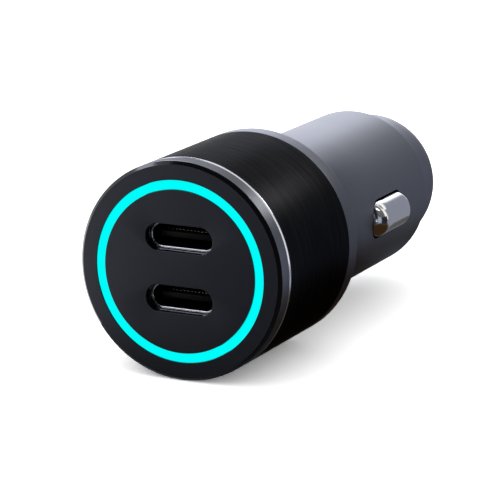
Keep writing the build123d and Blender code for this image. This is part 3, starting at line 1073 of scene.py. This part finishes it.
def port_tongue(name):
    """The tongue's blade and the base that closes the back of the shell."""
    height, half_run, radius = port_middle(name)
    front, end = ends("usb_tongue_" + name)
    blade_end = front + blade_length
    corner_low = (-blade_half_width, front, height - blade_half_thickness)
    corner_high = (blade_half_width, blade_end, height + blade_half_thickness)
    blade = slab(corner_low, corner_high, blade_edge)
    base_radius = radius - shell_wall - slot_gap
    base_profile = [(0, blade_end), (base_radius, blade_end), (base_radius, end), (0, end)]
    base = spun("base", base_profile, half_run, (0, height), SLOT_STEPS)
    tongue = joined("port_tongue_" + name, blade, base)
    dress(tongue, port_black, "black_moulding", "plug_body", "usb_tongue_" + name)


def port_strips(name):
    """The contact strips on both faces of a tongue."""
    low, high = span("usb_contacts_" + name)
    thickness = (high.z - low.z) / 2 - blade_half_thickness
    strips = []
    for bottom in (low.z, high.z - thickness):
        for step in range(strip_count):
            left = (step - (strip_count - 1) / 2) * strip_pitch - strip_width / 2
            far_corner = (left + strip_width, high.y, bottom + thickness)
            strips.append(slab((left, low.y, bottom), far_corner, strip_edge))
    strips = joined("port_strips_" + name, *strips)
    dress(strips, gold, "contact_brass", "plug_body", "usb_contacts_" + name)


for port in port_names:
    port_shell(port)
    port_tongue(port)
    port_strips(port)

# %% [markdown]
# ## Side contacts
# A side contact is a drawn chrome shoe: half-round on top, with a large round at the head end and a small
# one at the tail, open below, and held in by a lip at each end. The skin is a grid. Its columns follow
# the shoe's profile from end to end, and its rows go over the half-round top and down both skirts. A
# second, smaller grid makes the inside, and a rim joins the two.

# %% Side contacts
lip_thickness, lip_half_width, lip_edge = 0.5, 2.2, 0.06
shoe_wall = 0.45
shoe_axis = shoe_high.x - shoe_radius
skirt_end = shoe_low.x
over_steps = 48


def shoe_rows(grow):
    """The rows of the shoe's skin, from one skirt over the top to the other, grown outwards."""
    radius = shoe_radius + grow
    start, end = shoe_start - grow, shoe_end + grow
    columns = rounded([
        (start, 0, 0),
        (start, radius, shoe_nose_round + grow),
        (end, radius, shoe_tail_round + grow),
        (end, 0, 0),
    ])
    rows = [[(skirt_end, along, reach) for along, reach in columns]]
    for step in range(over_steps + 1):
        angle = math.pi * step / over_steps
        up_share, side_share = math.sin(angle), math.cos(angle)
        rows.append([(shoe_axis + reach * up_share, along, reach * side_share) for along, reach in columns])
    rows.append([(skirt_end, along, -reach) for along, reach in columns])
    return rows


def shoe(word, side):
    """A whole shoe: outer skin, inner skin, rim and lips; side is 1 on the right and -1 on the left."""
    bm = bmesh.new()
    grid = []
    for row in shoe_rows(0) + shoe_rows(-shoe_wall)[::-1]:
        grid.append([bm.verts.new(Vector((side * x, along, across)) * MM) for x, along, across in row])
    for row, following in zip(grid, grid[1:] + grid[:1]):
        for step in range(len(row) - 1):
            bm.faces.new((row[step], row[step + 1], following[step + 1], following[step]))
    parts = [piece_from("shoe", bm)]
    near, far = sorted((side * skirt_end, side * (skirt_end + lip_thickness)))
    for start, end in ((shoe_low.y, shoe_start + shoe_wall), (shoe_end - shoe_wall, shoe_high.y)):
        parts.append(slab((near, start, -lip_half_width), (far, end, lip_half_width), lip_edge))
    return joined("contact_shoe_" + word, *parts)


for word, side in (("right", 1), ("left", -1)):
    dress(shoe(word, side), chrome, "contact_chrome", "contact_" + word, "side_contact_" + word)

# %% [markdown]
# ## Nose, tip and springs
# The carrier's nose closes the barrel, and the sprung tip stands out of it. The carrier has pockets that
# only the frame knows well, so its own facets are copied and smoothed. The coil spring and the two bowed
# leaves are pressed when their contact goes in.

# %% Nose and tip
TIP_STEPS = 128
carrier_mesh = bmesh.new()
carrier_mesh.from_mesh(frame["nodes"]["carrier"].data)
carrier = piece_from("carrier_moulding", carrier_mesh)
dress(carrier, nose_grey, "grey_moulding", "plug_body", "carrier")

tip_back, tip_end = ends("tip_contact")
tip_radius, tip_collar_radius, tip_spigot_radius = 3.0, span("tip_contact")[1].x, 1.5
tip_spigot_length, tip_collar_length = 1.4, 1.6
tip_spigot_edge, tip_collar_edge, tip_dome = 0.15, 0.1, 1.7
collar_back = tip_back + tip_spigot_length
collar_front = collar_back + tip_collar_length
tip = spun("tip_pin", rounded([
    (0, tip_back, 0),
    (tip_spigot_radius, tip_back, tip_spigot_edge),
    (tip_spigot_radius, collar_back, 0),
    (tip_collar_radius, collar_back, tip_collar_edge),
    (tip_collar_radius, collar_front, tip_collar_edge),
    (tip_radius, collar_front, 0),
    (tip_radius, tip_end, tip_dome),
    (0, tip_end, 0),
]), steps=TIP_STEPS)
dress(tip, chrome, "contact_chrome", "tip", "tip_contact")

# %% Coil spring
coil_low, coil_high = span("tip_spring")
wire_radius, wire_sides = 0.3, 12
coil_turns, coil_steps = 3, 40
coil_radius = coil_high.x - wire_radius
travel = {joint["name"]: joint["range_m"][1] / MM for joint in frame["joints"]}


def coil_spring():
    """A round wire wound about the axis."""
    rings = []
    onward = Vector((0, 1, 0))
    start, end = coil_low.y + wire_radius, coil_high.y - wire_radius
    sides = [2 * math.pi * side / wire_sides for side in range(wire_sides)]
    for step in range(coil_turns * coil_steps + 1):
        share = step / (coil_turns * coil_steps)
        angle = 2 * math.pi * coil_turns * share
        outward = Vector((math.cos(angle), 0, math.sin(angle)))
        middle = outward * coil_radius + onward * (start + (end - start) * share)
        rings.append([
            middle + (outward * math.cos(side) + onward * math.sin(side)) * wire_radius
            for side in sides
        ])
    return skinned("tip_coil", rings, caps=True)


coil = coil_spring()
dress(coil, spring_steel, "spring_steel", "plug_body", "tip_spring")
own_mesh(coil)
print("travel, in millimetres:", travel)

# %% Leaf springs
leaf_thickness, leaf_steps = 0.25, 24


def leaf_spring(word):
    """A bowed strip, its foot and its rise: the middle rests in the pocket and the ends carry the shoe."""
    low, high = span("contact_spring_" + word)
    side = 1 if low.x > 0 else -1
    floor_side, shoe_side = sorted((abs(low.x), abs(high.x)))
    rise = shoe_side - floor_side
    corners = ((0, low.z), (0, high.z), (leaf_thickness, high.z), (leaf_thickness, low.z))
    rings = []
    for step in range(leaf_steps + 1):
        share = 2 * step / leaf_steps - 1
        foot = floor_side + (rise - leaf_thickness) * share * share
        along = (low.y + high.y) / 2 + (high.y - low.y) / 2 * share
        rings.append([(side * (foot + over), along, across) for over, across in corners])
    return skinned("contact_leaf_" + word, rings, caps=True), side * floor_side, rise


for word in ("right", "left"):
    leaf, foot, rise = leaf_spring(word)
    dress(leaf, spring_steel, "spring_steel", "plug_body", "contact_spring_" + word)
    joint = word + "_contact_press"
    max(1 - travel[joint] / rise, 0.1)
    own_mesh(leaf)

# %% [markdown]
# ## Boards and their parts
# The boards are closed in, and their nodes have the right shape already. They only get finishes.

# %% Finishes for the pieces inside
inside = {
    board_green: ("port_board", "main_board"),
    led_white: ("ring_leds",),
    ferrite: ("power_inductor",),
    can_metal: ("input_capacitor", "output_capacitors"),
    port_black: ("control_chips",),
    ceramic: ("input_fuse", "chip_components"),
    gold: ("ground_tabs", "tip_terminal"),
}
for material, nodes in inside.items():
    for node in nodes:
        frame["nodes"][node].data.materials.clear()
        frame["nodes"][node].data.materials.append(material)
print("finished inside:", sum(len(nodes) for nodes in inside.values()), "nodes")
